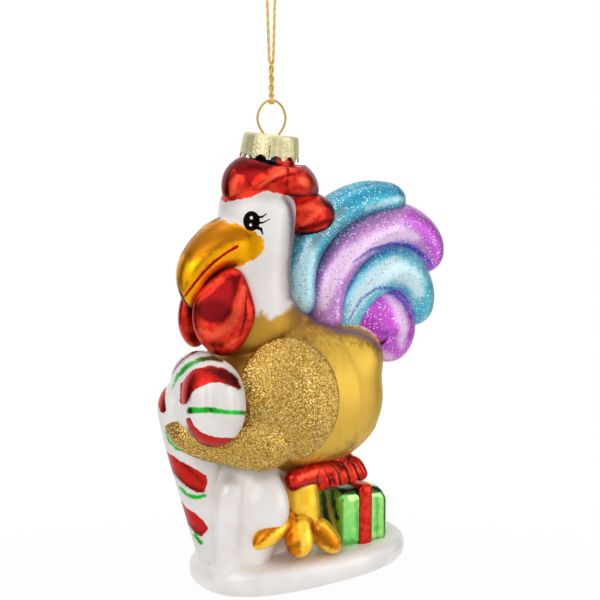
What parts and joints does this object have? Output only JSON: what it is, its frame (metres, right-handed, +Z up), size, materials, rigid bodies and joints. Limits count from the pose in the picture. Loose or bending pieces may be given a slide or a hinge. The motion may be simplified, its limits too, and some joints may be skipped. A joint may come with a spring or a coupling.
{
  "type": "glass christmas ornament",
  "caption": "Hanging blown-glass hen ornament that hugs a striped candy cane on a snow base beside a gift, with a metal cap, a wire ring and a cord loop.",
  "frame": {"origin": "inside top of the cord's loop, where it lies on the branch or hook that holds the ornament", "axes": "+Z up along the hanging line, -X the way the hen faces, -Y the hen's left side with the candy cane's hook"},
  "size_m": [0.0952, 0.0476, 0.1773],
  "materials": {
    "gold_cord": "twisted metallic thread",
    "brass_wire": "drawn spring wire",
    "cap_sheet": "stamped sheet, pale gold",
    "silvered_glass": "bare silvered glass",
    "pearl_white": "satin white lacquer on silvered glass",
    "striped_white": "satin white with brushed red and green stripes",
    "gold_lacquer": "satin gold lacquer on silvered glass",
    "gold_glitter": "gold glitter glued on the glass",
    "red_lacquer": "clear red lacquer on silvered glass",
    "yellow_lacquer": "clear yellow lacquer on silvered glass",
    "cyan_lacquer": "cyan lacquer with silver glitter",
    "purple_lacquer": "purple lacquer with silver glitter",
    "magenta_lacquer": "magenta lacquer with silver glitter",
    "green_lacquer": "clear green lacquer on silvered glass"
  },
  "bodies": {
    "cord": {"cord_loop": "gold_cord"},
    "hitch": {"cord_hitch": "gold_cord"},
    "hanger": {"wire_hanger": "brass_wire"},
    "cap": {"cap": "cap_sheet"},
    "figure": {"glass_neck": "silvered_glass", "hen_body": "gold_lacquer", "hen_head": "pearl_white", "snow_base": "pearl_white", "upper_beak": "yellow_lacquer", "lower_beak": "yellow_lacquer", "comb_front": "red_lacquer", "comb_back": "red_lacquer", "comb_flap": "red_lacquer", "wattle_left": "red_lacquer", "wattle_right": "red_lacquer", "candy_cane": "striped_white", "wing_left": "gold_glitter", "wing_right": "gold_glitter", "tail_plume_top": "cyan_lacquer", "tail_plume_second": "purple_lacquer", "tail_plume_third": "cyan_lacquer", "tail_plume_low": "magenta_lacquer", "gift_box": "green_lacquer", "gift_ribbon": "red_lacquer", "gift_bow": "red_lacquer", "foot_left": "yellow_lacquer", "foot_right": "yellow_lacquer", "snow_drift": "pearl_white"}
  },
  "joints": [
    {"name": "cord_twirl", "type": "hinge", "parent": "cord", "child": "hitch", "pos_m": [0, 0, -0.0381], "axis": [0, 0, 1], "range_deg": [-180, 180], "stiffness_Nm_per_rad": 0.0008},
    {"name": "ring_swing", "type": "hinge", "parent": "hitch", "child": "hanger", "pos_m": [0, 0, -0.0381], "axis": [0.8387, -0.5446, 0], "range_deg": [-75, 75]},
    {"name": "cap_tip", "type": "hinge", "parent": "hanger", "child": "cap", "pos_m": [0, 0, -0.0475], "axis": [0.8387, -0.5446, 0], "range_deg": [-6, 6]},
    {"name": "cap_pull", "type": "slide", "parent": "cap", "child": "figure", "axis": [0, 0, -1], "range_m": [0, 0.02]}
  ]
}
